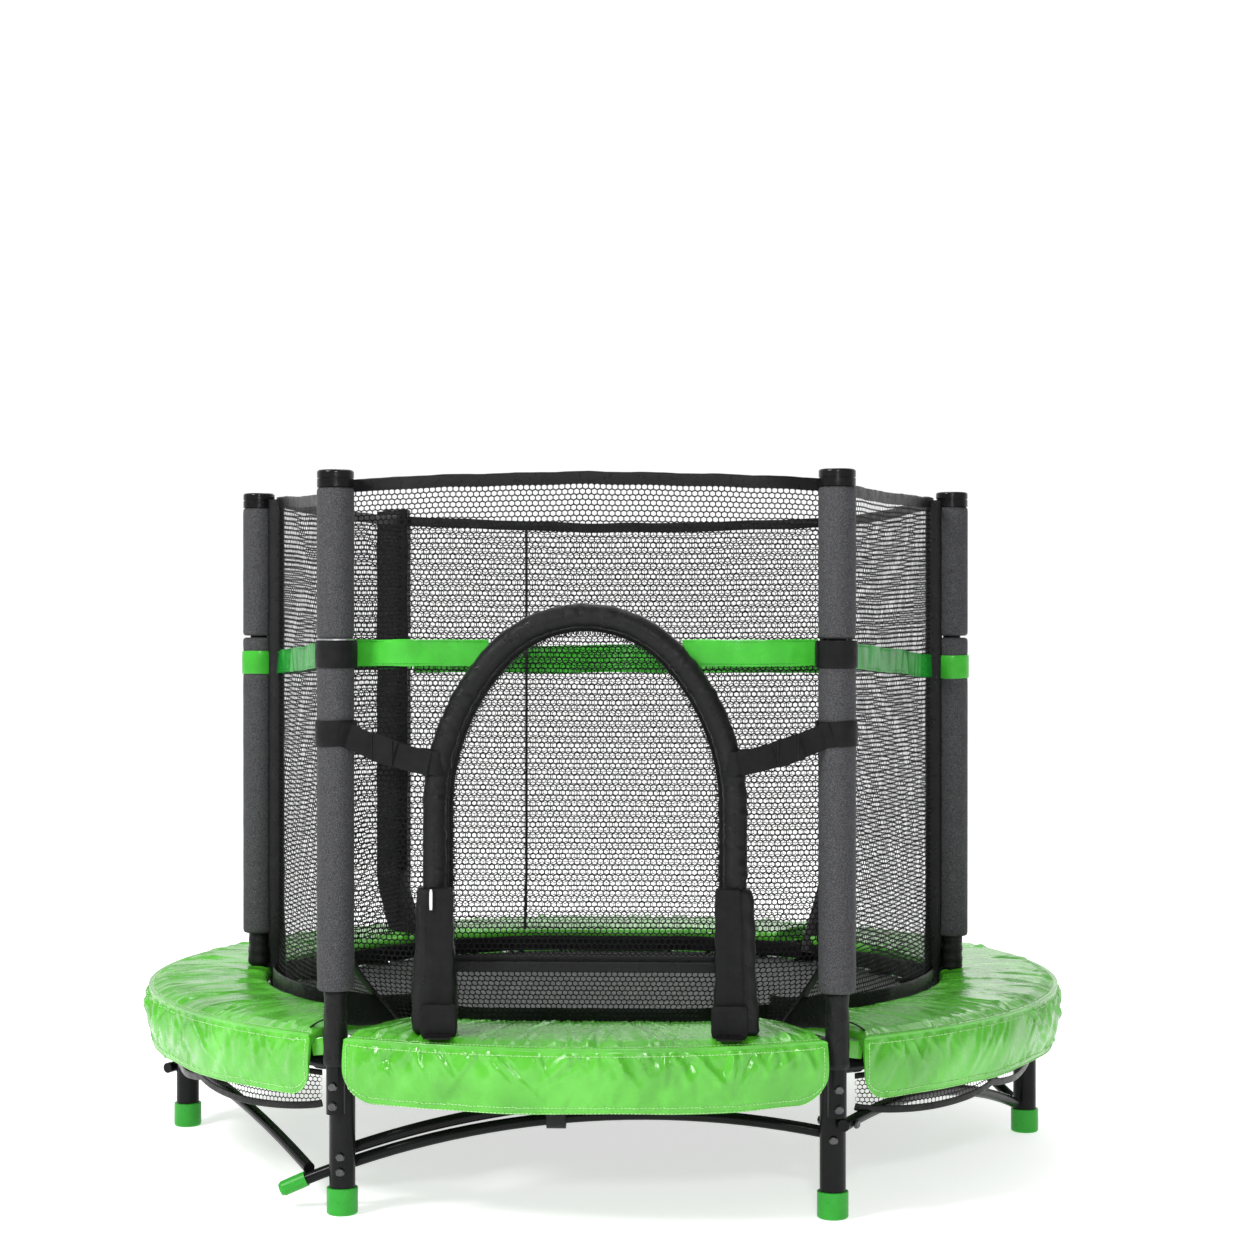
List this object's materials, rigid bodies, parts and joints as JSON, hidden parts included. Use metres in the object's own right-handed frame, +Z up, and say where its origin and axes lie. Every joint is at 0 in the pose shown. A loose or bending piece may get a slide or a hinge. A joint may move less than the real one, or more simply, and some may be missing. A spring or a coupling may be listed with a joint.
{
  "type": "trampoline",
  "caption": "Small round trampoline with spring bed, padded rim, padded corner poles and a mesh safety enclosure with an arched, zipped doorway.",
  "frame": {"origin": "centre of the round frame, on the ground under the feet", "axes": "+Z up, -Y towards the arched doorway, +X to the right of someone facing the doorway from outside"},
  "size_m": [1.3998, 1.4, 0.9948],
  "materials": {
    "frame_steel": "gloss black powder coat",
    "leg_steel": "gloss black powder coat",
    "pole_steel": "satin black powder coat",
    "brace_steel": "gloss black powder coat",
    "bolt_steel": "zinc plated",
    "spring_steel": "zinc plated coil",
    "ring_wire": "zinc plated wire",
    "green_plastic": "moulded",
    "black_plastic_gloss": "moulded, polished",
    "black_plastic": "moulded",
    "foam": "closed-cell foam, fine grain",
    "mat_weave": "woven polypropylene",
    "green_vinyl": "glossy coated fabric over foam",
    "net_mesh": "knitted polyester mesh",
    "door_mesh": "knitted polyester mesh",
    "glass_fibre": "pultruded rod",
    "black_fabric": "coated woven fabric",
    "black_webbing": "woven webbing",
    "green_webbing": "coated woven band",
    "skirt_mesh": "knitted mesh with a bound hem"
  },
  "bodies": {
    "frame": {"back_brace_long": "brace_steel", "back_brace_short": "brace_steel", "belt": "green_webbing", "brace_bolts": "bolt_steel", "brace_clamps": "black_plastic", "brace_end_cups": "black_plastic", "foam_sleeves_lower": "foam", "foam_sleeves_upper": "foam", "foot_caps": "green_plastic", "frame_tube_back": "frame_steel", "frame_tube_front": "frame_steel", "frame_tube_right": "frame_steel", "front_brace_long": "brace_steel", "front_brace_short": "brace_steel", "gate_cuffs": "black_fabric", "gate_rod": "glass_fibre", "gate_sleeve": "black_fabric", "left_back_brace": "brace_steel", "left_front_brace": "brace_steel", "leg_back_left": "leg_steel", "leg_back_right": "leg_steel", "leg_front_left": "leg_steel", "leg_front_right": "leg_steel", "leg_left": "leg_steel", "leg_right": "leg_steel", "net_back": "net_mesh", "net_back_left": "net_mesh", "net_back_right": "net_mesh", "net_front": "net_mesh", "net_front_left": "net_mesh", "net_front_right": "net_mesh", "pad_back": "green_vinyl", "pad_front": "green_vinyl", "pad_left": "green_vinyl", "pad_right": "green_vinyl", "pole_bolts": "bolt_steel", "pole_caps": "black_plastic_gloss", "pole_lower_back_left": "pole_steel", "pole_lower_back_right": "pole_steel", "pole_lower_front_left": "pole_steel", "pole_lower_front_right": "pole_steel", "pole_lower_left": "pole_steel", "pole_lower_right": "pole_steel", "pole_straps": "black_webbing", "pole_upper_back_left": "pole_steel", "pole_upper_back_right": "pole_steel", "pole_upper_front_left": "pole_steel", "pole_upper_front_right": "pole_steel", "pole_upper_left": "pole_steel", "pole_upper_right": "pole_steel", "right_back_brace": "brace_steel", "right_front_brace": "brace_steel", "side_pole_bracket_left": "frame_steel", "side_pole_bracket_right": "frame_steel", "skirt_nets": "skirt_mesh", "springs": "spring_steel"},
    "mat": {"jump_mat": "mat_weave", "mat_rings": "ring_wire"},
    "door": {"gate_door": "door_mesh"}
  },
  "joints": [
    {"name": "mat_bounce", "type": "slide", "parent": "frame", "child": "mat", "axis": [0, 0, 1], "range_m": [-0.12, 0], "stiffness_N_per_m": 4000, "springref_m": 0.01, "deforming": ["springs"]},
    {"name": "gate_door_swing", "type": "hinge", "parent": "frame", "child": "door", "pos_m": [0.183, -0.5905, 0.56], "axis": [0, 0, -1], "range_deg": [0, 100]}
  ]
}
